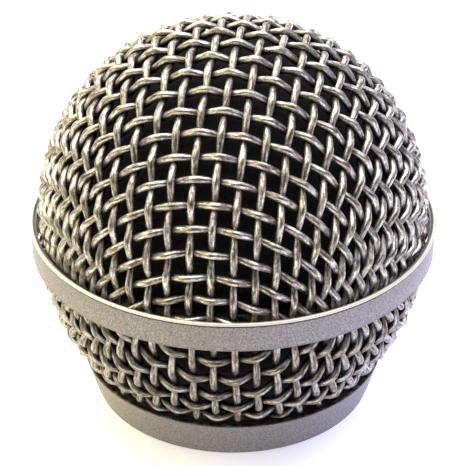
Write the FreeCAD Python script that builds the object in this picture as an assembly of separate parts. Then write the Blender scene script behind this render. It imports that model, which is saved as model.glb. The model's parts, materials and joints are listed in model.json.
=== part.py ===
import FreeCAD, Part
import math
import os

# Screw-on head of a dynamic vocal microphone, in millimetres.
# The origin is the centre of the collar's bottom face, +Z goes up the head's axis
# and -Y is the front. A ball grille screws down over a moving-coil capsule that
# floats on a rubber shock mount above a threaded base ring.

# Driving dimensions: the ball grille
WIRE_DIAMETER = 0.8
MESH_RADIUS = 23.73
DOME_CENTRE_Z = 25.07
BASKET_CENTRE_Z = 21.2
MESH_JOINT_Z = 22.5
MESH_SHELL_THICKNESS = 1.0
BAND_RADIUS = 25.35
BAND_BEAD = 0.15
BAND_LIP = 0.2
BAND_LOW_Z = 20.46
BAND_HIGH_Z = 24.36
COLLAR_LOW_RADIUS = 17.75
COLLAR_HIGH_RADIUS = 19.29
COLLAR_HEIGHT = 5.2
COLLAR_EDGE = 0.25
GROOVE_DEPTH = 0.5
FOAM_THICKNESS = 2.4
FOAM_CLEARANCE = 0.73
FOAM_LOW_Z = 6.2

# Driving dimensions: the threads and the base ring
THREAD_PITCH = 1.0
THREAD_TURNS = 4
COLLAR_BORE_RADIUS = 16.6
RUNNING_GAP = 0.2
HANDLE_THREAD_RADIUS = 13.46
HANDLE_THREAD_LENGTH = 6.5
NECK_RADIUS = 14.9
NECK_WALL = 1.0
SHELF_WIDTH = 1.9
SHELF_THICKNESS = 1.5
BOARD_THICKNESS = 1.2
CONTACT_THICKNESS = 0.3
CONTACT_PAD_RADIUS = 2.2
CONTACT_RINGS = ((4.4, 6.4), (8.4, 10.4))
SCREW_COUNT = 3
SCREW_CIRCLE = 12.55
SCREW_RADIUS = 0.6
SCREW_HEAD_RADIUS = 1.05
SCREW_HEAD_HEIGHT = 0.7
SCREW_CROSS = (1.3, 0.25)

# Driving dimensions: the shock mount
MOUNT_TOP_Z = 14.0
BEAD_HEIGHT = 1.0
BEAD_INNER = 12.9
FLANGE_THICKNESS = 0.8
CLAMP_HEIGHT = 1.2
SLEEVE_WALL = 1.1
WEB_THICKNESS = 0.7
LEAD_CIRCLE = 10.3
LEAD_RADIUS = 0.35

# Driving dimensions: the capsule
CAPSULE_RADIUS = 13.4
CAPSULE_WALL = 1.0
CAPSULE_FLOOR_Z = 19.9
CAPSULE_RIM_Z = 28.0
CHAMBER_RADIUS = 7.0
CHAMBER_WALL = 0.8
CHAMBER_LOW_Z = 11.0
CHAMBER_FELT_HEIGHT = 5.0
PORT_RADIUS = 1.0
REAR_FELT_THICKNESS = 0.5
YOKE_INSET = 4.0
YOKE_WALL = 1.0
MAGNET_HEIGHT = 2.9
POLE_HEIGHT = 1.8
PLATE_THICKNESS = 1.4
TAG_SIZE = (1.6, 2.2, 0.5)
VENT_RADIUS = 1.5
FIT_GAP = 0.05

# Driving dimensions: the diaphragm and its cap
COIL_RADIUS = 6.5
COIL_GAP = 0.3
FORMER_WALL = 0.15
COIL_THICKNESS = 0.33
FILM_THICKNESS = 0.2
DOME_RISE = 1.9
ROLL_RISE = 0.85
CLAMP_TOP_Z = 1.3
CAP_HEIGHT = 3.0
CAP_FACE = 0.8
CAP_HOLE_RADIUS = 1.1
CAP_HOLE_CIRCLES = ((6, 4.6, 0), (12, 9.0, 15))
SCREEN_THICKNESS = 0.3

# Worked out from the driving dimensions
MESH_OUTER = MESH_RADIUS + WIRE_DIAMETER
MESH_INNER = MESH_RADIUS - WIRE_DIAMETER
MESH_SKIN_INNER = MESH_OUTER - MESH_SHELL_THICKNESS
LIFT = THREAD_PITCH * THREAD_TURNS
FOAM_OUTER = MESH_INNER - FOAM_CLEARANCE
FOAM_INNER = FOAM_OUTER - FOAM_THICKNESS
LEDGE_Z = LIFT + 0.6
SHELF_Z = HANDLE_THREAD_LENGTH
BOARD_Z = SHELF_Z + SHELF_THICKNESS
BOARD_TOP_Z = BOARD_Z + BOARD_THICKNESS
NECK_TOP_Z = BOARD_TOP_Z + CONTACT_THICKNESS
NECK_INNER = NECK_RADIUS - NECK_WALL
SLEEVE_RADIUS = CHAMBER_RADIUS + 0.1
CAPSULE_INNER = CAPSULE_RADIUS - CAPSULE_WALL
FELT_Z = CAPSULE_FLOOR_Z + CAPSULE_WALL
YOKE_Z = FELT_Z + 0.6
MAGNET_Z = YOKE_Z + 1.2
POLE_Z = MAGNET_Z + MAGNET_HEIGHT
POLE_TOP_Z = POLE_Z + POLE_HEIGHT
TOP_PLATE_Z = POLE_TOP_Z - PLATE_THICKNESS
COIL_LOW_Z = TOP_PLATE_Z - 0.4
FILM_Z = CAPSULE_RIM_Z + 0.3
CAP_Z = CAPSULE_RIM_Z + CLAMP_TOP_Z
CAP_TOP_Z = CAP_Z + CAP_HEIGHT


def turn_profile(*path):
    """A solid of revolution about Z. The path is (r, z) points; a pair of them is an arc's middle and end."""
    edges = []
    here = path[0]
    for step in list(path[1:]) + [path[0]]:
        if isinstance(step[0], tuple):
            middle, end = step
            curve = Part.Arc(at(here), at(middle), at(end))
            edges.append(curve.toShape())
        else:
            end = step
            if end != here:
                edges.append(Part.makeLine(at(here), at(end)))
        here = end
    face = Part.Face(Part.Wire(edges))
    return face.revolve(FreeCAD.Vector(0, 0, 0), FreeCAD.Vector(0, 0, 1), 360)


def at(point):
    return FreeCAD.Vector(point[0], 0, point[1])


def ring(inner, outer, low, high):
    return turn_profile((inner, low), (outer, low), (outer, high), (inner, high))


def disc(radius, low, high, x=0.0, y=0.0):
    return Part.makeCylinder(radius, high - low, FreeCAD.Vector(x, y, low))


def around(count, radius, start_deg=0.0):
    """Points evenly spaced on a circle."""
    angles = [math.radians(start_deg + 360.0 * i / count) for i in range(count)]
    return [(radius * math.cos(a), radius * math.sin(a)) for a in angles]


def on_sphere(sphere_radius, centre_z, z):
    """Radius from the Z axis of a sphere's surface at height z."""
    return math.sqrt(sphere_radius ** 2 - (z - centre_z) ** 2)


def quarter_middle(sphere_radius, centre_z):
    """Middle of the arc from a sphere's equator to its crown, on the +X side."""
    reach = sphere_radius / math.sqrt(2)
    return reach, centre_z + reach


def low_arc_middle(sphere_radius, centre_z, z):
    """Middle of the arc from a sphere's equator down to height z, on the +X side."""
    angle = math.asin((z - centre_z) / sphere_radius) / 2
    return sphere_radius * math.cos(angle), centre_z + sphere_radius * math.sin(angle)


def dome(inner, outer, low):
    """Hemispherical shell on the dome's centre, with a straight skirt down to height low."""
    return turn_profile(
        (inner, low), (outer, low), (outer, DOME_CENTRE_Z),
        (quarter_middle(outer, DOME_CENTRE_Z), (0, DOME_CENTRE_Z + outer)), (0, DOME_CENTRE_Z + inner),
        (quarter_middle(inner, DOME_CENTRE_Z), (inner, DOME_CENTRE_Z)))


def soft_corner(before, corner, after, edge):
    """A rounded corner of a path: where its arc starts, then the arc's middle and end."""
    back = math.dist(before, corner)
    ahead = math.dist(after, corner)
    to_start = [(b - c) / back for b, c in zip(before, corner)]
    to_end = [(a - c) / ahead for a, c in zip(after, corner)]
    inward = [s + e for s, e in zip(to_start, to_end)]
    half_angle = math.acos(math.hypot(*inward) / 2)
    reach = edge * (1 / math.cos(half_angle) - math.tan(half_angle)) / math.hypot(*inward)
    start = tuple(c + edge * s for c, s in zip(corner, to_start))
    middle = tuple(c + reach * i for c, i in zip(corner, inward))
    end = tuple(c + edge * e for c, e in zip(corner, to_end))
    return start, (middle, end)


def crown_middle(rim_radius, rim_z, crown_z):
    """Middle of the arc from a shallow dome's rim to its crown, on the +X side."""
    height = crown_z - rim_z
    sphere_radius = (rim_radius ** 2 + height ** 2) / (2 * height)
    angle = math.asin(rim_radius / sphere_radius) / 2
    return sphere_radius * math.sin(angle), crown_z - sphere_radius * (1 - math.cos(angle))


def upper_mesh():
    """Dome of woven wire, as a shell as thick as its outer half, with a straight skirt inside the band."""
    return dome(MESH_SKIN_INNER, MESH_OUTER, MESH_JOINT_Z + 2 * FIT_GAP)


def lower_mesh():
    """Basket of woven wire: a bowl cut off where it stands in the collar, with a straight top edge."""
    low = LEDGE_Z + 3 * FIT_GAP
    high = MESH_JOINT_Z - 2 * FIT_GAP
    outer_middle = low_arc_middle(MESH_OUTER, BASKET_CENTRE_Z, low)
    inner_middle = low_arc_middle(MESH_SKIN_INNER, BASKET_CENTRE_Z, low)
    outer_low = (on_sphere(MESH_OUTER, BASKET_CENTRE_Z, low), low)
    inner_low = (on_sphere(MESH_SKIN_INNER, BASKET_CENTRE_Z, low), low)
    return turn_profile(outer_low, (outer_middle, (MESH_OUTER, BASKET_CENTRE_Z)), (MESH_OUTER, high),
                        (MESH_SKIN_INNER, high), (MESH_SKIN_INNER, BASKET_CENTRE_Z),
                        (inner_middle, inner_low))


def centre_band():
    """Smooth band over the joint of the two meshes, with a rolled bead on its top edge."""
    inner = MESH_OUTER + 0.12
    bead_low = (BAND_RADIUS, BAND_HIGH_Z - 4 * BAND_BEAD)
    bead_middle = (BAND_RADIUS + BAND_BEAD, BAND_HIGH_Z - 2 * BAND_BEAD)
    return turn_profile(
        (inner, BAND_LOW_Z), *soft_corner((inner, BAND_LOW_Z), (BAND_RADIUS, BAND_LOW_Z), bead_low, BAND_LIP),
        bead_low, (bead_middle, (BAND_RADIUS - FIT_GAP, BAND_HIGH_Z)), (inner, BAND_HIGH_Z))


def band_inner_ring():
    """Ring behind the meshes that clamps their edges against the band."""
    inner = FOAM_OUTER + 3 * FIT_GAP
    return ring(inner, MESH_INNER - FIT_GAP, BAND_LOW_Z + 0.5, BAND_HIGH_Z - 0.4)


def collar():
    """Flared collar that holds the basket's bottom edge and carries the grille's screw thread."""
    groove = COLLAR_BORE_RADIUS + GROOVE_DEPTH
    rim_inner = on_sphere(MESH_OUTER, BASKET_CENTRE_Z, COLLAR_HEIGHT) + 2 * FIT_GAP
    foot = (COLLAR_BORE_RADIUS, 0)
    low_corner = (COLLAR_LOW_RADIUS, 0)
    high_corner = (COLLAR_HIGH_RADIUS, COLLAR_HEIGHT)
    rim = (rim_inner, COLLAR_HEIGHT)
    return turn_profile(
        foot, *soft_corner(foot, low_corner, high_corner, COLLAR_EDGE),
        *soft_corner(low_corner, high_corner, rim, COLLAR_EDGE), rim,
        (rim_inner, LEDGE_Z), (groove, LEDGE_Z), (groove, LIFT), (COLLAR_BORE_RADIUS, LIFT))


def dome_foam():
    """Foam liner inside the dome."""
    return dome(FOAM_INNER, FOAM_OUTER, MESH_JOINT_Z - 0.8)


def basket_foam():
    """Foam liner inside the basket, trimmed to pass over the base when the grille comes off."""
    high = MESH_JOINT_Z - 1.0
    throat = NECK_RADIUS + 2 * RUNNING_GAP
    inner_low_z = BASKET_CENTRE_Z - math.sqrt(FOAM_INNER ** 2 - throat ** 2)
    outer_middle = low_arc_middle(FOAM_OUTER, BASKET_CENTRE_Z, FOAM_LOW_Z)
    inner_middle = low_arc_middle(FOAM_INNER, BASKET_CENTRE_Z, inner_low_z)
    outer_low = (on_sphere(FOAM_OUTER, BASKET_CENTRE_Z, FOAM_LOW_Z), FOAM_LOW_Z)
    return turn_profile((throat, FOAM_LOW_Z), outer_low, (outer_middle, (FOAM_OUTER, BASKET_CENTRE_Z)),
                        (FOAM_OUTER, high), (FOAM_INNER, high), (FOAM_INNER, BASKET_CENTRE_Z),
                        (inner_middle, (throat, inner_low_z)))


def slip_ring():
    """Low-friction ring held in a groove of the collar, between it and the base ring's shoulder."""
    outer = COLLAR_BORE_RADIUS + GROOVE_DEPTH - 3 * FIT_GAP
    return ring(NECK_RADIUS + RUNNING_GAP, outer, LIFT + FIT_GAP, LEDGE_Z - FIT_GAP)


def base_ring():
    """Ring with a male thread for the collar, a neck, a female thread for a handle and an inner shelf."""
    shelf_inner = HANDLE_THREAD_RADIUS - SHELF_WIDTH
    outer = COLLAR_BORE_RADIUS - RUNNING_GAP
    shoulder = LIFT - FIT_GAP
    body = turn_profile(
        (HANDLE_THREAD_RADIUS, 0), (outer, 0), (outer, shoulder), (NECK_RADIUS, shoulder),
        (NECK_RADIUS, NECK_TOP_Z), (NECK_INNER, NECK_TOP_Z), (NECK_INNER, BOARD_Z),
        (shelf_inner, BOARD_Z), (shelf_inner, SHELF_Z), (HANDLE_THREAD_RADIUS, SHELF_Z))
    return screw_holes(body)


def screw_holes(body):
    """A body with the board screws' holes through the board and the shelf."""
    for x, y in around(SCREW_COUNT, SCREW_CIRCLE, 90):
        body = body.cut(disc(SCREW_RADIUS + FIT_GAP, SHELF_Z - 1, BOARD_TOP_Z + 1, x, y))
    return body


def contact_board():
    """Round board whose underside carries the contact rings."""
    return screw_holes(disc(NECK_INNER - 2 * FIT_GAP, BOARD_Z, BOARD_TOP_Z))


def contact_rings():
    """Centre pad and two rings that meet a handle's spring contacts."""
    low = BOARD_Z - CONTACT_THICKNESS
    pads = [disc(CONTACT_PAD_RADIUS, low, BOARD_Z)]
    pads += [ring(inner, outer, low, BOARD_Z) for inner, outer in CONTACT_RINGS]
    return Part.makeCompound(pads)


def board_screws():
    """Cross-head screws that hold the board to the shelf."""
    long_side, short_side = SCREW_CROSS
    slot_z = BOARD_TOP_Z + SCREW_HEAD_HEIGHT / 2
    screws = []
    for x, y in around(SCREW_COUNT, SCREW_CIRCLE, 90):
        shank = disc(SCREW_RADIUS, SHELF_Z + 0.1, BOARD_TOP_Z + 0.1, x, y)
        head = disc(SCREW_HEAD_RADIUS, BOARD_TOP_Z, BOARD_TOP_Z + SCREW_HEAD_HEIGHT, x, y)
        screw = shank.fuse(head)
        for wide, deep in ((long_side, short_side), (short_side, long_side)):
            corner = FreeCAD.Vector(x - wide / 2, y - deep / 2, slot_z)
            screw = screw.cut(Part.makeBox(wide, deep, SCREW_HEAD_HEIGHT, corner))
        screws.append(screw)
    return Part.makeCompound(screws)


def shock_mount_housing():
    """Tube on the base ring's neck that holds the shock mount's outer bead."""
    tube = ring(NECK_INNER, NECK_RADIUS, NECK_TOP_Z, MOUNT_TOP_Z)
    flange = ring(BEAD_INNER, NECK_RADIUS, MOUNT_TOP_Z - FLANGE_THICKNESS, MOUNT_TOP_Z)
    return tube.fuse(flange).removeSplitter()


def shock_mount():
    """Rubber suspension: an outer bead, a folded web and a sleeve round the capsule's rear chamber."""
    low = MOUNT_TOP_Z
    bead_top = low + BEAD_HEIGHT
    sleeve_outer = SLEEVE_RADIUS + SLEEVE_WALL
    top = CAPSULE_FLOOR_Z - WEB_THICKNESS
    fold_radius = (BEAD_INNER - sleeve_outer) / 2
    fold_centre = (BEAD_INNER + sleeve_outer) / 2
    fold_z = low + WEB_THICKNESS / 2 + fold_radius
    rubber = turn_profile(
        (BEAD_INNER, low), (NECK_RADIUS, low), (NECK_RADIUS, bead_top), (BEAD_INNER, bead_top),
        ((fold_centre, fold_z + WEB_THICKNESS), (sleeve_outer, bead_top)),
        (sleeve_outer, top), (SLEEVE_RADIUS, top), (SLEEVE_RADIUS, low), (sleeve_outer, low),
        ((fold_centre, fold_z - WEB_THICKNESS / 2), (BEAD_INNER, low)))
    for x in (-LEAD_CIRCLE, LEAD_CIRCLE):
        rubber = rubber.cut(disc(2 * LEAD_RADIUS, low - 1, top + 1, x, 0))
    return rubber


def mount_clamp_ring():
    """Ring that clamps the shock mount's bead onto its housing."""
    low = MOUNT_TOP_Z + BEAD_HEIGHT
    high = low + CLAMP_HEIGHT
    inner = BEAD_INNER + 0.3
    bevel = 0.3
    return turn_profile((inner, low), (NECK_RADIUS, low), (NECK_RADIUS, high - bevel),
                        (NECK_RADIUS - bevel, high), (inner, high))


def lead_wires():
    """The two leads from the capsule's terminals down to the contact board."""
    top = CAPSULE_FLOOR_Z - 2 * TAG_SIZE[2]
    leads = [disc(LEAD_RADIUS, BOARD_TOP_Z, top, x, 0) for x in (-LEAD_CIRCLE, LEAD_CIRCLE)]
    return Part.makeCompound(leads)


def rear_chamber():
    """Closed tube behind the capsule that tunes its low end."""
    inner = CHAMBER_RADIUS - CHAMBER_WALL
    floor = CHAMBER_LOW_Z + CHAMBER_WALL
    return turn_profile((0, CHAMBER_LOW_Z), (CHAMBER_RADIUS, CHAMBER_LOW_Z), (CHAMBER_RADIUS, FELT_Z),
                        (inner, FELT_Z), (inner, floor), (0, floor))


def chamber_felt():
    """Felt plug that damps the rear chamber."""
    low = CHAMBER_LOW_Z + CHAMBER_WALL
    return disc(CHAMBER_RADIUS - CHAMBER_WALL - FIT_GAP, low, low + CHAMBER_FELT_HEIGHT)


def capsule_housing():
    """Cup with a ring of rear ports in its floor."""
    floor = CAPSULE_FLOOR_Z
    throat = CHAMBER_RADIUS + FIT_GAP
    bevel = 0.4
    cup = turn_profile(
        (throat, floor), (CAPSULE_RADIUS - bevel, floor), (CAPSULE_RADIUS, floor + bevel),
        (CAPSULE_RADIUS, CAPSULE_RIM_Z), (CAPSULE_INNER, CAPSULE_RIM_Z), (CAPSULE_INNER, FELT_Z),
        (throat, FELT_Z))
    for x, y in around(6, LEAD_CIRCLE, 30):
        cup = cup.cut(disc(PORT_RADIUS, floor - 1, FELT_Z + 1, x, y))
    return cup


def rear_felt():
    """Felt ring over the rear ports."""
    return ring(CHAMBER_RADIUS + 1.0, CAPSULE_INNER - FIT_GAP, FELT_Z, FELT_Z + REAR_FELT_THICKNESS)


def yoke():
    """Soft-iron pot round the magnet."""
    outer = CAPSULE_RADIUS - YOKE_INSET
    inner = outer - YOKE_WALL
    return turn_profile((VENT_RADIUS, YOKE_Z), (outer, YOKE_Z), (outer, TOP_PLATE_Z),
                        (inner, TOP_PLATE_Z), (inner, MAGNET_Z), (VENT_RADIUS, MAGNET_Z))


def magnet():
    """Disc magnet with a vent hole."""
    return ring(VENT_RADIUS, COIL_RADIUS - 0.5, MAGNET_Z, POLE_Z)


def pole_piece():
    """Inner pole on the magnet."""
    return ring(VENT_RADIUS, COIL_RADIUS - COIL_GAP, POLE_Z, POLE_TOP_Z)


def top_plate():
    """Outer pole plate on the yoke, round the voice coil's gap."""
    inner = COIL_RADIUS + FORMER_WALL + COIL_THICKNESS + COIL_GAP + FIT_GAP
    return ring(inner, CAPSULE_INNER - FIT_GAP, TOP_PLATE_Z, POLE_TOP_Z)


def diaphragm_clamp_ring():
    """Ring that holds the diaphragm's edge on the housing's rim."""
    return ring(CAPSULE_RADIUS - 1.8, CAPSULE_RADIUS, FILM_Z, CAP_Z)


def resonator_cap():
    """Perforated cap in front of the diaphragm."""
    bevel = 0.6
    face_low = CAP_TOP_Z - CAP_FACE
    cap = turn_profile(
        (0, face_low), (CAPSULE_INNER, face_low), (CAPSULE_INNER, CAP_Z), (CAPSULE_RADIUS, CAP_Z),
        (CAPSULE_RADIUS, CAP_TOP_Z - bevel), (CAPSULE_RADIUS - bevel, CAP_TOP_Z), (0, CAP_TOP_Z))
    holes = [(0.0, 0.0)]
    for count, radius, start in CAP_HOLE_CIRCLES:
        holes += around(count, radius, start)
    for x, y in holes:
        cap = cap.cut(disc(CAP_HOLE_RADIUS, face_low - 1, CAP_TOP_Z + 1, x, y))
    return cap


def cap_screen():
    """Fine cloth disc on the cap."""
    return disc(CAPSULE_INNER, CAP_TOP_Z, CAP_TOP_Z + SCREEN_THICKNESS)


def terminal_tags():
    """Solder tags on the capsule's underside."""
    wide, deep, thick = TAG_SIZE
    tags = []
    for x in (-LEAD_CIRCLE, LEAD_CIRCLE):
        corner = FreeCAD.Vector(x - wide / 2, -deep / 2, CAPSULE_FLOOR_Z - thick)
        tags.append(Part.makeBox(wide, deep, thick, corner))
    return Part.makeCompound(tags)


def diaphragm_dome():
    """Thin dome over the voice coil, with a flat rim."""
    edge = COIL_RADIUS + 0.2
    rim = edge + 0.7
    crown = FILM_Z + DOME_RISE
    film_top = FILM_Z + FILM_THICKNESS
    return turn_profile(
        (edge, FILM_Z), (rim, FILM_Z), (rim, film_top), (edge, film_top),
        (crown_middle(edge, film_top, crown + FILM_THICKNESS), (0, crown + FILM_THICKNESS)), (0, crown),
        (crown_middle(edge, FILM_Z, crown), (edge, FILM_Z)))


def diaphragm_surround():
    """Rolled flexible ring between the dome and its clamp."""
    low = CAPSULE_RIM_Z + 0.02
    high = low + FILM_THICKNESS
    inner = COIL_RADIUS + 0.55
    edge = CAPSULE_RADIUS - 0.2
    start = inner + 0.6
    end = CAPSULE_RADIUS - 2.2
    middle = (start + end) / 2
    return turn_profile((inner, low), (start, low), ((middle, low + ROLL_RISE), (end, low)), (edge, low),
                        (edge, high), (end, high), ((middle, high + ROLL_RISE), (start, high)), (inner, high))


def coil_former():
    """Tube that joins the voice coil to the dome."""
    return ring(COIL_RADIUS, COIL_RADIUS + FORMER_WALL, COIL_LOW_Z, FILM_Z - 0.02)


def voice_coil():
    """Copper winding in the gap."""
    inner = COIL_RADIUS + FORMER_WALL + 0.02
    return ring(inner, inner + COIL_THICKNESS, COIL_LOW_Z, POLE_TOP_Z + 0.2)


NODES = (
    upper_mesh, lower_mesh, centre_band, band_inner_ring, collar, dome_foam, basket_foam, slip_ring,
    base_ring, contact_board, contact_rings, board_screws, shock_mount_housing, shock_mount,
    mount_clamp_ring, lead_wires, rear_chamber, chamber_felt, capsule_housing, rear_felt, yoke, magnet,
    pole_piece, top_plate, diaphragm_clamp_ring, resonator_cap, cap_screen, terminal_tags,
    diaphragm_dome, diaphragm_surround, coil_former, voice_coil)

os.makedirs("parts", exist_ok=True)
for make in NODES:
    shape = make()
    name = make.__name__
    print(name, "valid" if shape.isValid() else "INVALID", round(shape.Volume, 2))
    shape.exportStep("parts/" + name + ".step")
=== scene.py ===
import json
import math

import bmesh
import bpy
import numpy as np
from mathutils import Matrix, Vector, noise


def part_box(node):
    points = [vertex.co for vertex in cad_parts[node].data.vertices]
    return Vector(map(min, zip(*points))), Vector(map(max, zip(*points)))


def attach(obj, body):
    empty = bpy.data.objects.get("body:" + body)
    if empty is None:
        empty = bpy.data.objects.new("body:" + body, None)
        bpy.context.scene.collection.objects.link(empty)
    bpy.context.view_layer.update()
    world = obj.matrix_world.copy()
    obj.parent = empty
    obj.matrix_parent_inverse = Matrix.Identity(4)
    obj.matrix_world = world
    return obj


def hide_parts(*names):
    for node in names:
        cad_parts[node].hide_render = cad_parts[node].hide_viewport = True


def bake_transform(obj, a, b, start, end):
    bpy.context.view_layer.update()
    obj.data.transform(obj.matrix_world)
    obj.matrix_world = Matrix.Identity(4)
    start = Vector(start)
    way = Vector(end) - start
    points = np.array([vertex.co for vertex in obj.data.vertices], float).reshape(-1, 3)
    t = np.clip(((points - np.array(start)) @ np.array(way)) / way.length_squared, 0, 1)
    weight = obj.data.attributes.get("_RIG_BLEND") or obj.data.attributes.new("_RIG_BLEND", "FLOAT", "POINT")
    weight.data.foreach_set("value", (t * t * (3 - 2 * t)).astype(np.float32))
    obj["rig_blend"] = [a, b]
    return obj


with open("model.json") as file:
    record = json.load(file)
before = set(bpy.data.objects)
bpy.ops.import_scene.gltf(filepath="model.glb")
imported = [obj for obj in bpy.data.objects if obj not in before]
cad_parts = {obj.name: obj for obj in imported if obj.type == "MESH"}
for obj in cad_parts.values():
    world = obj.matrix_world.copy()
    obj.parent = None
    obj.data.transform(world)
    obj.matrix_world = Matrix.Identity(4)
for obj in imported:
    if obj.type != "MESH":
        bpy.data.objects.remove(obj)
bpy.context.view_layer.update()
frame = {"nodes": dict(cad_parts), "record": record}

MM = 0.001
MERGE = 0.0005 * MM
SHARP = math.radians(35)

# The woven wire
WIRE_DIAMETER = 0.9 * MM
WIRE_SIDES = 12
SAMPLES_PER_PITCH = 10
NET_FINENESS = 4
DOME_PITCH = (2.63 * MM, 2.83 * MM)
DOME_OFFSET = (-1.28, 13.63)
DOME_TURN = math.radians(8.1)
DOME_KINK = 0.07
BASKET_PITCH = (2.55 * MM, 3.1 * MM)
BASKET_OFFSET = (-0.85, 10.82)
BASKET_TURN = math.radians(4.7)
BASKET_CENTRE_Z = 21.2 * MM
BASKET_KINK = 0.01
WANDER = 0.16 * MM
WANDER_FINENESS = 160

# Band and collar
COLLAR_BOTTOM = 17.75 * MM
COLLAR_GROOVE = 17.1 * MM
COLLAR_THREAD_TOP = 4.0 * MM
COLLAR_LEDGE = 4.6 * MM
RIM_WIDTH = 0.62 * MM
SOFT_EDGE = 0.3 * MM
BEAD_RADIUS = 0.21 * MM
LIP_RADIUS = 0.12 * MM
TURNED_SIDES = 256

# Foam
FOAM_THICKNESS = 2.4 * MM
FOAM_THROAT = 15.3 * MM
FOAM_ROUGHNESS = 0.12 * MM
FOAM_FINENESS = 900
FOAM_SIDES = 160

# The screw threads
THREAD_ROOT_STEP = 0.37 * MM
THREAD_PITCH = 1.0 * MM
THREAD_ROWS = 8
THREAD_DEPTH = 0.54 * MM
THREAD_CHAMFER = 0.3 * MM
THREAD_CLEARANCE = 0.1 * MM

# The base ring
SHOULDER_Z = 3.95 * MM
NECK_WALL = 1.0 * MM
SHELF_WIDTH = 1.9 * MM
SCREW_COUNT = 3
SCREW_CIRCLE = 12.55 * MM
SCREW_HOLE = 0.65 * MM

# The rubber mount and the leads
BEAD_WIDTH = 2.0 * MM
BEAD_HEIGHT = 1.0 * MM
SLEEVE_INNER = 7.1 * MM
SLEEVE_OUTER = 8.2 * MM
WEB = 0.5 * MM
LEAD_CIRCLE = 10.3 * MM
LEAD_HOLE = 0.7 * MM
LEAD_SLACK = 0.5 * MM
LEAD_POINTS = 40
COIL_TURNS = 16
SMALL_SIDES = 128

# The film surround of the diaphragm
SURROUND_LAP = 0.35 * MM
SURROUND_FILM = 0.2 * MM

# The camera
CAMERA_HEIGHT_ANGLE = math.radians(30.5)
CAMERA_DISTANCE = 271 * MM
CAMERA_LENS = 166.8
SENSOR_WIDTH = 36.0
CAMERA_SHIFT = -0.054
DARK_SIDE_HEIGHT = math.radians(25)
OVERHEAD_LIGHT = (-0.25, 0.15, 1.0)
FLOOR_TINT_REACH = 32 * MM
FLOOR_REACH = 3.0
FLOOR_GLOW = (25 * MM, 60 * MM)
FLOOR_GAP = 0.03 * MM


# Helpers for meshes

def add_mesh(name, vertices, faces, smooth=True):
    """A mesh object in the scene, with its faces turned outwards."""
    mesh = bpy.data.meshes.new(name)
    mesh.from_pydata([tuple(v) for v in vertices], [], faces)
    mesh.validate()
    rework(mesh, lambda shape: bmesh.ops.recalc_face_normals(shape, faces=shape.faces))
    if smooth:
        mesh.shade_smooth()
    piece = bpy.data.objects.new(name, mesh)
    bpy.context.scene.collection.objects.link(piece)
    return piece


def rework(mesh, step):
    """Runs one bmesh step on a mesh."""
    shape = bmesh.new()
    shape.from_mesh(mesh)
    step(shape)
    shape.to_mesh(mesh)
    shape.free()


def ride(piece, body, slot, *nodes):
    """Puts a piece on its body, in place of its CAD nodes."""
    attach(piece, body)
    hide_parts(*nodes)


def bend(piece, ends, slot, node, low, high):
    """Lets a soft piece stretch between two bodies, in place of its CAD node."""
    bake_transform(piece, *ends, start=(0, 0, low), end=(0, 0, high))
    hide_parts(node)
    piece.data.materials.append(speckled(slot, **FINISHES[slot]))


def ring_faces(rings, sides, closed_path=False):
    """Quads between rings of vertices."""
    faces = []
    for i in range(rings if closed_path else rings - 1):
        a = i * sides
        b = ((i + 1) % rings) * sides
        for j in range(sides):
            k = (j + 1) % sides
            faces.append((a + j, a + k, b + k, b + j))
    return faces


def arc(centre, radius, start_deg, end_deg, steps):
    """Points of an arc in the (r, z) plane."""
    angles = np.radians(np.linspace(start_deg, end_deg, steps + 1))
    return [(centre[0] + radius * math.cos(a), centre[1] + radius * math.sin(a)) for a in angles]


class Thread:
    """A stretch of a turned outline that a right-hand screw thread runs along."""

    def __init__(self, start_z, end_z, radius, depth, end_radius):
        self.low = min(start_z, end_z)
        self.high = max(start_z, end_z)
        self.downwards = start_z > end_z
        self.radius = radius
        self.depth = depth
        self.end_radius = end_radius
        self.rows = math.ceil((self.high - self.low) / THREAD_PITCH * THREAD_ROWS) + THREAD_ROWS + 1

    def points(self, turn):
        """Its (r, z) points at an angle, given as a part of a turn."""
        made = []
        for row in range(self.rows):
            z = self.low + ((row / THREAD_ROWS) - 1 + turn) * THREAD_PITCH
            z = min(self.high, max(self.low, z))
            slope = abs((z / THREAD_PITCH - turn) % 1 - 0.5) * 2
            ridge = min(1.0, max(0.0, (0.8125 - slope) / 0.6875))
            full = min(1.0, (z - self.low) / THREAD_CHAMFER, (self.high - z) / THREAD_CHAMFER)
            r = self.end_radius + (self.radius + ridge * self.depth - self.end_radius) * full
            made.append((r, z))
        return made[::-1] if self.downwards else made


def lathe(name, outline, sides=192):
    """A closed outline of (r, z) points and threads, turned about the Z axis."""
    threaded = any(isinstance(step, Thread) for step in outline)
    columns = sides + 1 if threaded else sides
    vertices = []
    for i in range(columns):
        angle = 2 * math.pi * i / sides
        points = []
        for step in outline:
            points += step.points(i / sides) if isinstance(step, Thread) else [step]
        vertices += [(r * math.cos(angle), r * math.sin(angle), z) for r, z in points]
    piece = add_mesh(name, vertices, ring_faces(columns, len(points), closed_path=not threaded))
    if threaded:
        rework(piece.data, lambda shape: bmesh.ops.remove_doubles(shape, verts=shape.verts, dist=MERGE))
        rework(piece.data, lambda shape: bmesh.ops.recalc_face_normals(shape, faces=shape.faces))
    piece.data.shade_smooth()
    piece.data.set_sharp_from_angle(angle=SHARP)
    return piece


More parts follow.
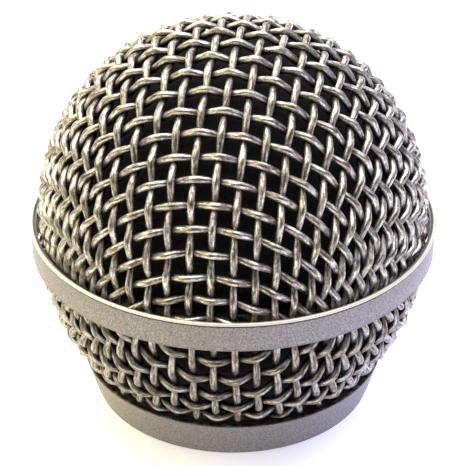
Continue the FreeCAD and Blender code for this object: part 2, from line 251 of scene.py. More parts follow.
def drill(piece, radius, low, high, spots):
    """Cuts upright round holes through a piece."""
    sides = 24
    vertices, faces = [], []
    for x, y in spots:
        first = len(vertices)
        for z in (low, high):
            vertices += [(x + radius * math.cos(2 * math.pi * i / sides),
                          y + radius * math.sin(2 * math.pi * i / sides), z) for i in range(sides)]
        faces += [tuple(first + sides * end + i for i in range(sides)) for end in (0, 1)]
        faces += [(first + i, first + (i + 1) % sides, first + sides + (i + 1) % sides, first + sides + i)
                  for i in range(sides)]
    cutter = add_mesh("cutter", vertices, faces, smooth=False)
    modifier = piece.modifiers.new("drill", "BOOLEAN")
    modifier.object = cutter
    modifier.solver = "EXACT"
    cut = piece.evaluated_get(bpy.context.evaluated_depsgraph_get())
    piece.data = bpy.data.meshes.new_from_object(cut)
    piece.modifiers.clear()
    bpy.data.objects.remove(cutter)
    piece.data.shade_smooth()
    piece.data.set_sharp_from_angle(angle=SHARP)


def mark(piece, name, amount):
    """Stores amount(radius, z) at each vertex of a piece, for its material to read."""
    attribute = piece.data.attributes.new(name, "FLOAT", "POINT")
    for vertex, value in zip(piece.data.vertices, attribute.data):
        value.value = amount(math.hypot(vertex.co.x, vertex.co.y), vertex.co.z)


# The woven wire

class Net:
    """A net of unstretched wires laid over a unit sphere from its pole, where its squares may shear."""

    def __init__(self, radius, pitch, turns=0.62):
        steps = [p / NET_FINENESS / radius for p in pitch]
        counts = [int(math.pi * turns / s) for s in steps]
        grid = np.zeros((counts[0], counts[1], 3))
        for i in range(counts[0]):
            grid[i, 0] = (math.sin(i * steps[0]), 0, math.cos(i * steps[0]))
        for j in range(counts[1]):
            grid[0, j] = (0, math.sin(j * steps[1]), math.cos(j * steps[1]))
        for i in range(1, counts[0]):
            for j in range(1, counts[1]):
                middle = grid[i - 1, j] + grid[i, j - 1]
                middle /= np.linalg.norm(middle)
                corner = grid[i - 1, j - 1]
                grid[i, j] = 2 * corner.dot(middle) * middle - corner
        self.grid = grid
        self.reach = [(c - 2) / NET_FINENESS for c in counts]

    def at(self, u, v):
        """Unit vectors at net coordinates, counted in pitches from the pole."""
        fine_u = np.abs(u) * NET_FINENESS
        fine_v = np.abs(v) * NET_FINENESS
        i = fine_u.astype(int)
        j = fine_v.astype(int)
        a = (fine_u - i)[:, None]
        b = (fine_v - j)[:, None]
        g = self.grid
        points = (g[i, j] * (1 - a) * (1 - b) + g[i + 1, j] * a * (1 - b)
                  + g[i, j + 1] * (1 - a) * b + g[i + 1, j + 1] * a * b)
        points /= np.linalg.norm(points, axis=1, keepdims=True)
        points[:, 0] *= np.where(u < 0, -1, 1)
        points[:, 1] *= np.where(v < 0, -1, 1)
        return points


def tube(path, outward, radius):
    """Vertices and faces of a round wire along a path."""
    tangent = np.gradient(path, axis=0)
    tangent /= np.linalg.norm(tangent, axis=1, keepdims=True)
    side = np.cross(tangent, outward)
    side /= np.linalg.norm(side, axis=1, keepdims=True)
    up = np.cross(side, tangent)
    angles = np.linspace(0, 2 * math.pi, WIRE_SIDES, endpoint=False)
    rings = (path[:, None] + radius * (np.cos(angles)[None, :, None] * up[:, None]
                                       + np.sin(angles)[None, :, None] * side[:, None]))
    count = len(path)
    faces = ring_faces(count, WIRE_SIDES)
    last = (count - 1) * WIRE_SIDES
    faces.append(tuple(reversed(range(WIRE_SIDES))))
    faces.append(tuple(last + j for j in range(WIRE_SIDES)))
    return rings.reshape(-1, 3), faces


def along_wire(path, number):
    """Where each vertex of a wire lies on it: length along it, apart for each wire, and place round it."""
    steps = np.linalg.norm(np.diff(path, axis=0), axis=1)
    length = np.concatenate([[0], np.cumsum(steps)]) + number * 0.2
    angles = np.linspace(0, 2 * math.pi, WIRE_SIDES, endpoint=False)
    half = WIRE_DIAMETER / 2
    return np.array([(s, half * math.cos(a), half * math.sin(a)) for s in length for a in angles])


def runs(mask):
    """Start and end of each unbroken stretch where mask is true."""
    edges = np.flatnonzero(np.diff(np.concatenate([[0], mask.astype(int), [0]])))
    return [(a, b) for a, b in zip(edges[::2], edges[1::2]) if b - a > 3]


def wander(path, outward, number):
    """Small sideways offsets that make each wire run a little uneven."""
    tangent = np.gradient(path, axis=0)
    side = np.cross(tangent, outward)
    side /= np.linalg.norm(side, axis=1, keepdims=True)
    spots = [Vector(tuple(p * WANDER_FINENESS)) + Vector((number * 7.3, 0, 0)) for p in path]
    return side * (np.array([noise.noise(spot) for spot in spots]) * WANDER)[:, None]


def wires(name, net, radius, centre_z, pole, turn, offset, along, first_over, kink, low, high):
    """One family of wires, along = 0 for those at constant v and 1 for those at constant u."""
    across = 1 - along
    vertices, faces, places, crests = [], [], [], []
    lowest = math.ceil(offset[across] - net.reach[across])
    highest = math.floor(offset[across] + net.reach[across])
    count = int(2 * net.reach[along] * SAMPLES_PER_PITCH)
    run = np.linspace(-net.reach[along] + 0.01, net.reach[along] - 0.01, count)
    total = 0
    for k in range(lowest, highest + 1):
        fixed = np.full(count, k - offset[across])
        unit = net.at(run, fixed) if along == 0 else net.at(fixed, run)
        phase = math.pi * (run + offset[along])
        crimp = first_over * ((1 - kink) * np.cos(phase) + kink * np.cos(3 * phase)) * (-1) ** k
        cos, sin = math.cos(turn), math.sin(turn)
        outward = np.stack([unit[:, 0] * cos + unit[:, 1] * sin,
                            unit[:, 1] * cos - unit[:, 0] * sin, pole * unit[:, 2]], axis=1)
        path = outward * (radius + crimp * WIRE_DIAMETER / 2)[:, None]
        path += wander(path, outward, k + 100 * along)
        path[:, 2] += centre_z
        surface_z = centre_z + outward[:, 2] * radius
        for a, b in runs((surface_z > low) & (surface_z < high)):
            points, quads = tube(path[a:b], outward[a:b], WIRE_DIAMETER / 2)
            vertices.append(points)
            places.append(along_wire(path[a:b], k))
            height = np.linalg.norm(points - (0, 0, centre_z), axis=1) - radius
            crests.append(height / WIRE_DIAMETER)
            faces += [tuple(total + i for i in quad) for quad in quads]
            total += len(points)
    piece = add_mesh(name, np.concatenate(vertices), faces)
    attribute = piece.data.attributes.new("wire_place", "FLOAT_VECTOR", "POINT")
    attribute.data.foreach_set("vector", np.concatenate(places).astype(np.float32).ravel())
    # Height in the weave, which the wire material reads for painted shade deep in the weave
    attribute = piece.data.attributes.new("crest", "FLOAT", "POINT")
    attribute.data.foreach_set("value", np.concatenate(crests).astype(np.float32))
    return piece


def weave(name, node, centre_z, pole, turn, offset, pitch, warp_over, kink, low, high, finish):
    """Warp and weft over and under each other, in place of a mesh node."""
    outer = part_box(node)[1].x
    radius = outer - WIRE_DIAMETER
    net = Net(radius, pitch)
    for family, along, over in (("warp", 1, warp_over), ("weft", 0, -warp_over)):
        piece = wires(f"{name}_{family}_wires", net, radius, centre_z, pole, turn, offset,
                      along, over, kink, low, high)
        ride(piece, "grille", "wire", node)
        piece.data.materials.append(finish)


def woven_meshes():
    dome_low, dome_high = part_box("upper_mesh")
    dome_centre_z = dome_high.z - dome_high.x
    joint_z = dome_low.z
    basket_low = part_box("lower_mesh")[0]
    weave("dome", "upper_mesh", dome_centre_z, 1, DOME_TURN, DOME_OFFSET, DOME_PITCH, -1,
          DOME_KINK, joint_z + 0.1 * MM, 1.0,
          wire_paint("wire_paint", (0.92, 0.90, 0.845), (0.19, 0.148, 0.105)))
    # The basket's wires get a darker copy of the same paint: painted shade for the basket lying under the
    # band
    weave("basket", "lower_mesh", BASKET_CENTRE_Z, -1, BASKET_TURN,
          BASKET_OFFSET, BASKET_PITCH, 1, BASKET_KINK, basket_low.z + 0.3 * MM, joint_z - 0.3 * MM,
          wire_paint("wire_paint_basket", (0.64, 0.62, 0.585), (0.14, 0.105, 0.075)))


# Materials

MATERIALS = {}


def material(name):
    """A new node material: its node tree and its principled shader."""
    made = bpy.data.materials.new(name)
    made.use_nodes = True
    tree = made.node_tree
    shader = tree.nodes["Principled BSDF"]
    MATERIALS[name] = made
    return tree, shader


def grain(tree, scale, detail=4.0, roughness=0.6):
    """Noise in object space."""
    place = tree.nodes.new("ShaderNodeTexCoord")
    texture = tree.nodes.new("ShaderNodeTexNoise")
    texture.inputs["Scale"].default_value = scale
    texture.inputs["Detail"].default_value = detail
    texture.inputs["Roughness"].default_value = roughness
    tree.links.new(place.outputs["Object"], texture.inputs["Vector"])
    return texture.outputs["Fac"]


def ramp(tree, source, stops):
    """Colours along a value, from (position, colour) pairs."""
    node = tree.nodes.new("ShaderNodeValToRGB")
    elements = node.color_ramp.elements
    while len(elements) < len(stops):
        elements.new(0.5)
    for element, (position, colour) in zip(elements, stops):
        element.position = position
        element.color = (*colour, 1)
    tree.links.new(source, node.inputs["Fac"])
    return node.outputs["Color"]


def bump(tree, shader, height, distance, strength=1.0):
    node = tree.nodes.new("ShaderNodeBump")
    node.inputs["Distance"].default_value = distance
    node.inputs["Strength"].default_value = strength
    tree.links.new(height, node.inputs["Height"])
    tree.links.new(node.outputs["Normal"], shader.inputs["Normal"])


def speckled(name, dark, light, scale, metallic, roughness, bump_mm=0.0, spread=(0.35, 0.65)):
    """A finish whose colour varies between two tones in a fine grain."""
    if name in MATERIALS:
        return MATERIALS[name]
    tree, shader = material(name)
    value = grain(tree, scale)
    tree.links.new(ramp(tree, value, [(spread[0], dark), (spread[1], light)]), shader.inputs["Base Color"])
    shader.inputs["Metallic"].default_value = metallic
    shader.inputs["Roughness"].default_value = roughness
    if bump_mm:
        bump(tree, shader, value, bump_mm * MM)
    return MATERIALS[name]


def mixed(tree, amount, a, b):
    """Colour a, turning to the fixed colour b as amount goes from 0 to 1."""
    node = tree.nodes.new("ShaderNodeMix")
    node.data_type = "RGBA"
    tree.links.new(amount, node.inputs["Factor"])
    tree.links.new(a, node.inputs["A"])
    node.inputs["B"].default_value = (*b, 1)
    return node.outputs["Result"]


def multiply(tree, a, b):
    """Two colours multiplied."""
    both = tree.nodes.new("ShaderNodeMix")
    both.data_type = "RGBA"
    both.blend_type = "MULTIPLY"
    both.inputs["Factor"].default_value = 1
    tree.links.new(a, both.inputs["A"])
    tree.links.new(b, both.inputs["B"])
    return both.outputs["Result"]


def attribute_value(tree, name, output):
    node = tree.nodes.new("ShaderNodeAttribute")
    node.attribute_name = name
    return node.outputs[output]


def map_range(tree, source, low, high):
    """A value from low to high, as 0 to 1."""
    node = tree.nodes.new("ShaderNodeMapRange")
    node.inputs["From Min"].default_value = low
    node.inputs["From Max"].default_value = high
    tree.links.new(source, node.inputs["Value"])
    return node.outputs["Result"]


def math_node(tree, operation, a, b):
    """Arithmetic on two sockets or numbers."""
    node = tree.nodes.new("ShaderNodeMath")
    node.operation = operation
    for socket, value in zip(node.inputs, (a, b)):
        if isinstance(value, (int, float)):
            socket.default_value = value
        else:
            tree.links.new(value, socket)
    return node.outputs[0]


def wire_paint(name, paint, wear_and_reflection):
    """Silver-grey paint with painted shade deep in the weave, and brown streaks that are partly wear and
    partly a painted dark reflection, laid more on the outer side of each wire.
    """
    if name in MATERIALS:
        return MATERIALS[name]
    tree, shader = material(name)
    place = attribute_value(tree, "wire_place", "Vector")
    stretch = tree.nodes.new("ShaderNodeVectorMath")
    stretch.operation = "MULTIPLY"
    stretch.inputs[1].default_value = (1000, 4200, 4200)
    tree.links.new(place, stretch.inputs[0])
    streaks = tree.nodes.new("ShaderNodeTexNoise")
    streaks.inputs["Scale"].default_value = 1.0
    streaks.inputs["Detail"].default_value = 6.0
    streaks.inputs["Roughness"].default_value = 0.65
    tree.links.new(stretch.outputs["Vector"], streaks.inputs["Vector"])
    apart = tree.nodes.new("ShaderNodeSeparateXYZ")
    tree.links.new(place, apart.inputs[0])
    # Painted reflection: the outer side of each wire takes more of the brown streak colour, standing in for a
    # dark reflection along it
    outer_side = map_range(tree, apart.outputs["Y"], 0.2 * WIRE_DIAMETER, 0.48 * WIRE_DIAMETER)
    height = map_range(tree, attribute_value(tree, "crest", "Fac"), -1, 1)
    # Painted shade: the wires turn dark where they lie deep in the weave, under the crossing wires
    painted_shade_in_weave = ramp(tree, height, [(0.35, (0.05, 0.047, 0.045)), (0.55, (0.42, 0.41, 0.40)), (0.72, (1, 1, 1))])
    wear_and_reflection_amount = math_node(tree, "ADD", streaks.outputs["Fac"], math_node(tree, "MULTIPLY", outer_side, 0.09))
    wear_and_reflection_colour = ramp(tree, wear_and_reflection_amount,
                [(0.44, paint), (0.54, [(p + b) / 2 for p, b in zip(paint, wear_and_reflection)]), (0.66, wear_and_reflection)])
    flecks = ramp(tree, grain(tree, 4600, detail=3.0, roughness=0.75),
                  [(0.36, (0.5, 0.48, 0.46)), (0.55, (1, 1, 1))])
    tree.links.new(multiply(tree, multiply(tree, painted_shade_in_weave, wear_and_reflection_colour), flecks), shader.inputs["Base Color"])
    shader.inputs["Metallic"].default_value = 0.85
    shader.inputs["Roughness"].default_value = 0.30
    bump(tree, shader, streaks.outputs["Fac"], 0.03 * MM)
    return MATERIALS[name]


def trim_paint():
    """Satin metallic paint with a fine flake, made pale along the marked edges by a painted highlight and
    dark in the marked grooves by painted shade.
    """
    if "trim_paint" in MATERIALS:
        return MATERIALS["trim_paint"]
    tree, shader = material("trim_paint")
    flake = grain(tree, 5200, detail=3.0, roughness=0.7)
    paint = ramp(tree, flake, [(0.36, (0.128, 0.120, 0.117)), (0.64, (0.34, 0.32, 0.312))])
    # Painted highlight: paler, glossier paint where marked, broken up by a coarse grain
    painted_highlight = math_node(tree, "ADD", attribute_value(tree, "painted_highlight", "Fac"),
                       math_node(tree, "MULTIPLY", grain(tree, 1300, detail=2.0), 0.25))
    wear_and_reflection = ramp(tree, painted_highlight, [(0.45, (0, 0, 0)), (0.75, (1, 1, 1))])
    # Painted shade: darker paint in the groove under the band's bead and along the collar's top
    painted_groove_shade = ramp(tree, math_node(tree, "ADD", attribute_value(tree, "groove", "Fac"),
                                math_node(tree, "MULTIPLY", grain(tree, 900, detail=3.0), 0.9)),
                [(0.75, (1, 1, 1)), (1.15, (0.10, 0.08, 0.06))])
    # The pale cream colour is the painted highlight
    edge = mixed(tree, wear_and_reflection, multiply(tree, paint, painted_groove_shade), (0.70, 0.66, 0.56))
    tree.links.new(edge, shader.inputs["Base Color"])
    shader.inputs["Metallic"].default_value = 0.5
    gloss = ramp(tree, wear_and_reflection, [(0, (0.42, 0.42, 0.42)), (1, (0.3, 0.3, 0.3))])
    tree.links.new(gloss, shader.inputs["Roughness"])
    bump(tree, shader, flake, 0.015 * MM)
    return MATERIALS["trim_paint"]


def foam_finish():
    return speckled("foam_finish", (0.0005, 0.0005, 0.001), (0.0045, 0.0045, 0.008), 2600, 0.0, 1.0, 0.2,
                    (0.5, 0.75))


FINISHES = {
    "plated_steel": dict(dark=(0.5, 0.5, 0.5), light=(0.7, 0.7, 0.7), scale=3000,
                         metallic=1.0, roughness=0.3),
    "slip_polymer": dict(dark=(0.7, 0.68, 0.62), light=(0.8, 0.78, 0.73), scale=900,
                         metallic=0.0, roughness=0.4),
    "base_metal": dict(dark=(0.05, 0.05, 0.055), light=(0.09, 0.09, 0.095), scale=3500,
                       metallic=0.8, roughness=0.42),
    "board": dict(dark=(0.01, 0.07, 0.03), light=(0.015, 0.10, 0.045), scale=1500,
                  metallic=0.0, roughness=0.35),
    "contact_brass": dict(dark=(0.80, 0.56, 0.22), light=(0.95, 0.72, 0.35), scale=2500,
                          metallic=1.0, roughness=0.25),
    "black_plastic": dict(dark=(0.012, 0.012, 0.013), light=(0.025, 0.025, 0.027), scale=2500, metallic=0.0,
                          roughness=0.5, bump_mm=0.01),
    "rubber": dict(dark=(0.010, 0.010, 0.010), light=(0.02, 0.02, 0.02), scale=1800, metallic=0.0,
                   roughness=0.75, bump_mm=0.02),
    "lead_insulation": dict(dark=(0.35, 0.02, 0.015), light=(0.5, 0.04, 0.03), scale=900, metallic=0.0,
                            roughness=0.4),
    "felt": dict(dark=(0.22, 0.21, 0.20), light=(0.42, 0.41, 0.39), scale=2800, metallic=0.0, roughness=0.95,
                 bump_mm=0.1),
    "magnet_metal": dict(dark=(0.5, 0.5, 0.51), light=(0.66, 0.66, 0.67), scale=1200,
                         metallic=1.0, roughness=0.15),
    "screen_cloth": dict(dark=(0.008, 0.008, 0.008), light=(0.04, 0.04, 0.04), scale=5000, metallic=0.0,
                         roughness=0.9, bump_mm=0.05),
    "film": dict(dark=(0.60, 0.55, 0.40), light=(0.72, 0.68, 0.55), scale=600, metallic=0.0, roughness=0.18),
    "copper": dict(dark=(0.50, 0.20, 0.10), light=(0.75, 0.36, 0.2), scale=4000, metallic=1.0, roughness=0.3),
}


def finish_cad_nodes():
    """A node material on each CAD node that stays."""
    slots = {part["node"]: part["material_slot"] for part in frame["record"]["subparts"]}
    for node, thing in frame["nodes"].items():
        slot = slots[node]
        if slot in FINISHES:
            finish = speckled(slot, **FINISHES[slot])
            thing.data.materials.clear()
            thing.data.materials.append(finish)


# Band and collar

def centre_band():
    """Smooth band with a rolled bead and a groove along its top edge, and a thin lip along its lower one."""
    low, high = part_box("centre_band")
    face = high.x - 0.15 * MM
    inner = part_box("upper_mesh")[1].x + 0.12 * MM
    bead = BEAD_RADIUS
    lip = LIP_RADIUS
    bead_low = high.z - 2 * bead
    groove = face - 0.10 * MM
    outline = [(inner, low.z)]
    outline += arc((face - lip, low.z + lip), lip, -90, 40, 6)
    outline += [(face - 0.03 * MM, low.z + 2.2 * lip), (face, low.z + 3.2 * lip), (face, bead_low - 0.6 * MM),
                (face, bead_low - 0.17 * MM), (groove, bead_low - 0.11 * MM), (groove, bead_low - 0.02 * MM)]
    outline += arc((high.x - bead, high.z - bead), bead, -60, 90, 12)
    outline += arc((high.x - bead - 0.08 * MM, high.z - bead), bead, 90, 150, 5)
    outline += [(high.x - 0.6 * MM, high.z - 0.34 * MM), (inner, high.z - 0.4 * MM)]
    piece = lathe("band_shell", outline, TURNED_SIDES)

    # Painted highlight: full along the top of the bead, faint along the lower lip
    def painted_highlight(r, z):
        if z > bead_low and r > high.x - 0.5 * MM:
            return 1.0
        return 0.25 if z < low.z + 2 * lip else 0.0

    mark(piece, "painted_highlight", painted_highlight)
    # Painted shadow line in the groove under the bead
    mark(piece, "groove", lambda r, z: 1.0 if r < face and bead_low - 0.15 * MM < z < bead_low else 0.0)
    ride(piece, "grille", "painted_trim", "centre_band")
    piece.data.materials.append(trim_paint())


def collar_ring():
    """Flared collar with a soft rim and a threaded bore."""
    low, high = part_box("collar")
    top = high.x
    bottom = COLLAR_BOTTOM
    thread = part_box("base_ring")[1].x - THREAD_ROOT_STEP + THREAD_CLEARANCE
    rim_inner = top - RIM_WIDTH
    soft = SOFT_EDGE
    flare = (top - bottom) / (high.z - low.z)
    outline = arc((bottom - soft, low.z + soft), soft, -90, 0, 6)
    outline += [(bottom + flare * t * high.z, t * high.z) for t in (0.25, 0.5, 0.75, 0.88)]
    outline += arc((top - soft, high.z - soft), soft, 10, 90, 8)
    outline += [(rim_inner, high.z), (rim_inner, COLLAR_LEDGE), (COLLAR_GROOVE, COLLAR_LEDGE),
                (COLLAR_GROOVE, COLLAR_THREAD_TOP)]
    outline.append(Thread(COLLAR_THREAD_TOP, low.z, thread, THREAD_DEPTH, thread + THREAD_DEPTH))
    piece = lathe("collar_ring", outline, TURNED_SIDES)
    # No painted highlight on the collar
    mark(piece, "painted_highlight", lambda r, z: 0.0)
    # Painted shade along the top of the collar, where the basket sits in it
    mark(piece, "groove", lambda r, z: 0.55 if z > high.z - soft / 2 else 0.0)
    ride(piece, "grille", "painted_trim", "collar")
    piece.data.materials.append(trim_paint())


# Foam

def foam_shell(name, node, outline):
    """A foam liner with an uneven open-cell skin."""
    piece = lathe(name, outline, FOAM_SIDES)
    for vertex in piece.data.vertices:
        height = noise.noise(vertex.co * FOAM_FINENESS)
        vertex.co += Vector((vertex.co.x, vertex.co.y, 0)).normalized() * height * FOAM_ROUGHNESS
    ride(piece, "grille", "foam", node)
    piece.data.materials.append(foam_finish())


def foam_liners():
    low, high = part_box("dome_foam")
    outer = high.x
    inner = outer - FOAM_THICKNESS
    centre = (0.0, high.z - outer)
    outline = arc(centre, outer, 0, 89.5, 60) + arc(centre, inner, 89.5, 0, 48)
    outline += [(inner, low.z), (outer, low.z)]
    foam_shell("foam_dome", "dome_foam", outline)
    low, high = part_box("basket_foam")
    centre = (0.0, BASKET_CENTRE_Z)
    start = -math.degrees(math.asin((BASKET_CENTRE_Z - low.z) / outer))
    end = -math.degrees(math.acos(FOAM_THROAT / inner))
    outline = [(FOAM_THROAT, low.z)] + arc(centre, outer, start, 0, 30) + [(outer, high.z), (inner, high.z)]
    outline += arc(centre, inner, 0, end, 24)
    foam_shell("foam_basket", "basket_foam", outline)


# The parts inside

def around(count, radius, start_deg):
    """Points evenly spaced on a circle."""
    angles = [math.radians(start_deg + 360 * i / count) for i in range(count)]
    return [(radius * math.cos(a), radius * math.sin(a)) for a in angles]


def base_ring():
    """Threaded base: a male thread for the collar, a neck, a shelf and a female thread for the handle."""
    low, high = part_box("base_ring")
    board_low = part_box("contact_board")[0]
    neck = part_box("shock_mount_housing")[1].x
    neck_inner = neck - NECK_WALL
    mounts = {mount["name"]: mount for mount in frame["record"]["mounts"]}
    dims = mounts["handle_thread"]["dims"]
    handle = dims["r_mm"] * MM
    shelf = dims["length_mm"] * MM
    shelf_inner = handle - SHELF_WIDTH
    edge = 0.12 * MM
    root = high.x - THREAD_ROOT_STEP
    outline = [Thread(low.z, SHOULDER_Z, root, THREAD_DEPTH, root)]
    outline += [(neck, SHOULDER_Z), (neck, high.z - edge), (neck - edge, high.z), (neck_inner + edge, high.z),
                (neck_inner, high.z - edge), (neck_inner, board_low.z), (shelf_inner + edge, board_low.z),
                (shelf_inner, board_low.z - edge), (shelf_inner, shelf + edge), (shelf_inner + edge, shelf),
                (handle + THREAD_DEPTH, shelf)]
    groove = handle + THREAD_DEPTH
    outline.append(Thread(shelf - 0.2 * MM, low.z, groove, -THREAD_DEPTH, groove))
    piece = lathe("base_ring_turned", outline)
    drill(piece, SCREW_HOLE, shelf - MM, board_low.z + MM, around(SCREW_COUNT, SCREW_CIRCLE, 90))
    ride(piece, "base", "base_metal", "base_ring")
    piece.data.materials.append(speckled("base_metal", **FINISHES["base_metal"]))


def voice_coil():
    """Winding of enamelled wire, turn on turn."""
    low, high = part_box("voice_coil")
    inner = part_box("coil_former")[1].x + 0.02 * MM
    wire = (high.z - low.z) / COIL_TURNS / 2
    outline = [(inner, low.z)]
    for i in range(COIL_TURNS):
        outline += arc((high.x - wire, low.z + (2 * i + 1) * wire), wire, -80, 80, 4)
    outline.append((inner, high.z))
    piece = lathe("voice_coil_winding", outline, SMALL_SIDES)
    ride(piece, "diaphragm", "copper", "voice_coil")
    piece.data.materials.append(speckled("copper", **FINISHES["copper"]))


def shock_mount():
    """Rubber suspension with a bead, a folded web and a ribbed sleeve round the rear chamber."""
    low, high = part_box("shock_mount")
    bead_inner = high.x - BEAD_WIDTH
    bead_top = low.z + BEAD_HEIGHT
    edge = 0.2 * MM
    fold = (bead_inner - SLEEVE_OUTER) / 2
    fold_at = ((bead_inner + SLEEVE_OUTER) / 2, low.z + 0.35 * MM)
    outline = [(high.x, low.z), (high.x, bead_top)]
    outline += [(bead_inner + 0.5 * MM, bead_top), (bead_inner + 0.2 * MM, bead_top - 0.1 * MM)]
    outline += arc(fold_at, fold + WEB, 12, 168, 20)
    outline.append((SLEEVE_OUTER, fold_at[1] + 0.9 * MM))
    for rib in range(2):
        z = low.z + (3.4 + rib) * MM
        outline += arc((SLEEVE_OUTER, z), edge, -90, 90, 6)
    outline += [(SLEEVE_OUTER, high.z - edge), (SLEEVE_OUTER - edge, high.z), (SLEEVE_INNER, high.z),
                (SLEEVE_INNER, low.z), (SLEEVE_OUTER, low.z)]
    outline += arc(fold_at, fold - 0.1 * MM, 172, 8, 20)
    outline.append((bead_inner, low.z))
    piece = lathe("rubber_mount", outline, SMALL_SIDES)
    drill(piece, LEAD_HOLE, low.z - MM, high.z + MM, [(-LEAD_CIRCLE, 0), (LEAD_CIRCLE, 0)])
    bend(piece, ("base", "capsule"), "rubber", "shock_mount", bead_top, high.z - 0.8 * MM)


def lead_wires():
    """Two insulated leads with a little slack, from the board up to the capsule's tags."""
    low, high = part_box("lead_wires")
    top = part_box("terminal_tags")[0].z
    radius = (high.y - low.y) / 2
    for name, x in (("lead_left", low.x + radius), ("lead_right", high.x - radius)):
        heights = np.linspace(low.z, top, LEAD_POINTS)
        part = (heights - low.z) / (top - low.z)
        slack = LEAD_SLACK * np.sin(math.pi * np.clip(part / 0.45, 0, 1)) ** 2
        path = np.stack([np.full(LEAD_POINTS, x), slack * math.copysign(1, x), heights], axis=1)
        vertices, faces = tube(path, np.tile((0.0, 1.0, 0.0), (LEAD_POINTS, 1)), radius)
        piece = add_mesh(name, vertices, faces)
        bend(piece, ("base", "capsule"), "lead_insulation", "lead_wires", low.z + MM, high.z - MM)


def diaphragm_surround():
    """Thin film ring with a half roll, clamped outside and moving with the dome inside."""
    low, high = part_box("diaphragm_surround")
    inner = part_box("diaphragm_dome")[1].x - SURROUND_LAP
    film = SURROUND_FILM
    roll_start = inner + 0.6 * MM
    roll_end = high.x - 2.0 * MM
    middle = (roll_start + roll_end) / 2
    rise = high.z - low.z - film
    upper, lower = [], []
    for part in np.linspace(0, 1, 25):
        r = roll_start + (roll_end - roll_start) * part
        z = low.z + rise * math.sin(math.pi * part)
        lower.append((r, z))
        upper.append((r, z + film))
    outline = [(inner, low.z)] + lower + [(high.x, low.z), (high.x, low.z + film)] + upper[::-1]
    outline.append((inner, low.z + film))
    piece = lathe("surround_roll", outline)
    bend(piece, ("capsule", "diaphragm"), "film", "diaphragm_surround", low.z, high.z)
    # The share between capsule and dome runs along the radius, where bend() has it along a line
    share = piece.data.attributes["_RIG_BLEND"]
    for vertex, value in zip(piece.data.vertices, share.data):
        part = (roll_end - math.hypot(vertex.co.x, vertex.co.y)) / (roll_end - roll_start)
        part = min(1.0, max(0.0, part))
        value.value = part * part * (3 - 2 * part)


# Stage

def studio_world(scene):
    """White light, warm from the left and cool from the right, that leaves out the viewer's side."""
    world = bpy.data.worlds.new("studio")
    world.use_nodes = True
    tree = world.node_tree
    lit = tree.nodes["Background"]
    place = tree.nodes.new("ShaderNodeTexCoord")

    towards = tree.nodes.new("ShaderNodeVectorMath")
    towards.operation = "DOT_PRODUCT"
    towards.inputs[1].default_value = (0, -math.cos(DARK_SIDE_HEIGHT), math.sin(DARK_SIDE_HEIGHT))
    tree.links.new(place.outputs["Generated"], towards.inputs[0])
    strength = ramp(tree, towards.outputs["Value"], [(0.66, (1, 1, 1)), (0.92, (0.03, 0.03, 0.03))])

    overhead = tree.nodes.new("ShaderNodeVectorMath")
    overhead.operation = "DOT_PRODUCT"
    overhead.inputs[1].default_value = Vector(OVERHEAD_LIGHT).normalized()
    tree.links.new(place.outputs["Generated"], overhead.inputs[0])
    top = ramp(tree, overhead.outputs["Value"], [(0.4, (0.19, 0.19, 0.19)), (0.88, (1, 1, 1))])

    apart = tree.nodes.new("ShaderNodeSeparateXYZ")
    tree.links.new(place.outputs["Generated"], apart.inputs[0])
    sideways = map_range(tree, apart.outputs["X"], -1, 1)
    tint = ramp(tree, sideways, [(0.08, (0.84, 0.73, 0.42)), (0.4, (1, 0.99, 0.94)),
                                 (0.6, (0.98, 0.98, 1.0)), (0.92, (0.64, 0.62, 0.93))])
    tree.links.new(multiply(tree, multiply(tree, strength, top), tint), lit.inputs["Color"])
    lit.inputs["Strength"].default_value = 4.2

    seen = tree.nodes.new("ShaderNodeBackground")
    rays = tree.nodes.new("ShaderNodeLightPath")
    mix = tree.nodes.new("ShaderNodeMixShader")
    tree.links.new(rays.outputs["Is Camera Ray"], mix.inputs["Fac"])
    tree.links.new(lit.outputs["Background"], mix.inputs[1])
    tree.links.new(seen.outputs["Background"], mix.inputs[2])
    seen.inputs["Color"].default_value = (1, 1, 1, 1)
    tree.links.new(mix.outputs["Shader"], tree.nodes["World Output"].inputs["Surface"])
    scene.world = world


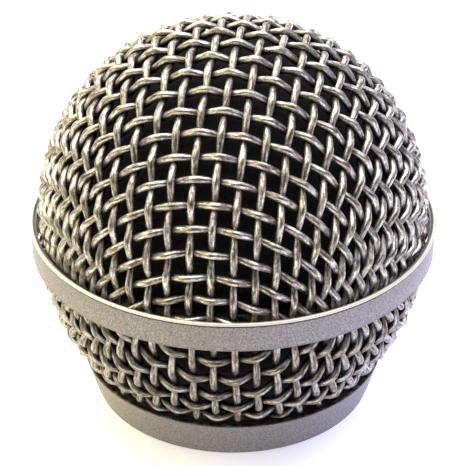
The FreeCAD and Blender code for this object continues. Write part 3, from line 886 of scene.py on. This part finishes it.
def floor_paper():
    """White paper that glows round the collar, warm on the left and cool on the right."""
    tree, shader = material("floor_paper")
    place = tree.nodes.new("ShaderNodeTexCoord")
    apart = tree.nodes.new("ShaderNodeSeparateXYZ")
    tree.links.new(place.outputs["Object"], apart.inputs[0])
    sideways = map_range(tree, apart.outputs["X"], -FLOOR_TINT_REACH, FLOOR_TINT_REACH)
    tint = ramp(tree, sideways, [(0.0, (0.78, 0.67, 0.35)), (0.35, (0.30, 0.28, 0.245)),
                                 (0.60, (0.27, 0.27, 0.32)), (1.0, (0.58, 0.57, 1.0))])
    away = tree.nodes.new("ShaderNodeVectorMath")
    away.operation = "LENGTH"
    tree.links.new(place.outputs["Object"], away.inputs[0])
    near = ramp(tree, map_range(tree, away.outputs["Value"], *FLOOR_GLOW),
                [(0, (1, 1, 1)), (1, (0.45, 0.45, 0.45))])
    tree.links.new(multiply(tree, tint, near), shader.inputs["Emission Color"])
    shader.inputs["Emission Strength"].default_value = 1.8
    shader.inputs["Base Color"].default_value = (0.6, 0.6, 0.6, 1)
    shader.inputs["Roughness"].default_value = 0.9
    return MATERIALS["floor_paper"]


def stage():
    """Pale floor, soft studio light and the camera, which looks down at the front."""
    scene = bpy.context.scene
    corners = [(FLOOR_REACH * x, FLOOR_REACH * y, -FLOOR_GAP)
               for x, y in ((-1, -1), (1, -1), (1, 1), (-1, 1))]
    floor = add_mesh("floor", corners, [(0, 1, 2, 3)], smooth=False)
    floor.data.materials.append(floor_paper())

    studio_world(scene)

    target = Vector((0, 0, 0.025))
    reach = Vector((0, -math.cos(CAMERA_HEIGHT_ANGLE), math.sin(CAMERA_HEIGHT_ANGLE)))
    data = bpy.data.cameras.new("camera")
    data.lens = CAMERA_LENS
    data.sensor_width = SENSOR_WIDTH
    data.shift_y = CAMERA_SHIFT
    data.clip_start = 0.01
    camera = bpy.data.objects.new("camera", data)
    scene.collection.objects.link(camera)
    camera.location = target + reach * CAMERA_DISTANCE
    camera.rotation_euler = (-reach).to_track_quat("-Z", "Y").to_euler()
    scene.camera = camera
    scene.view_settings.view_transform = "Standard"


stage()
woven_meshes()
centre_band()
collar_ring()
foam_liners()
base_ring()
voice_coil()
shock_mount()
lead_wires()
diaphragm_surround()
finish_cad_nodes()
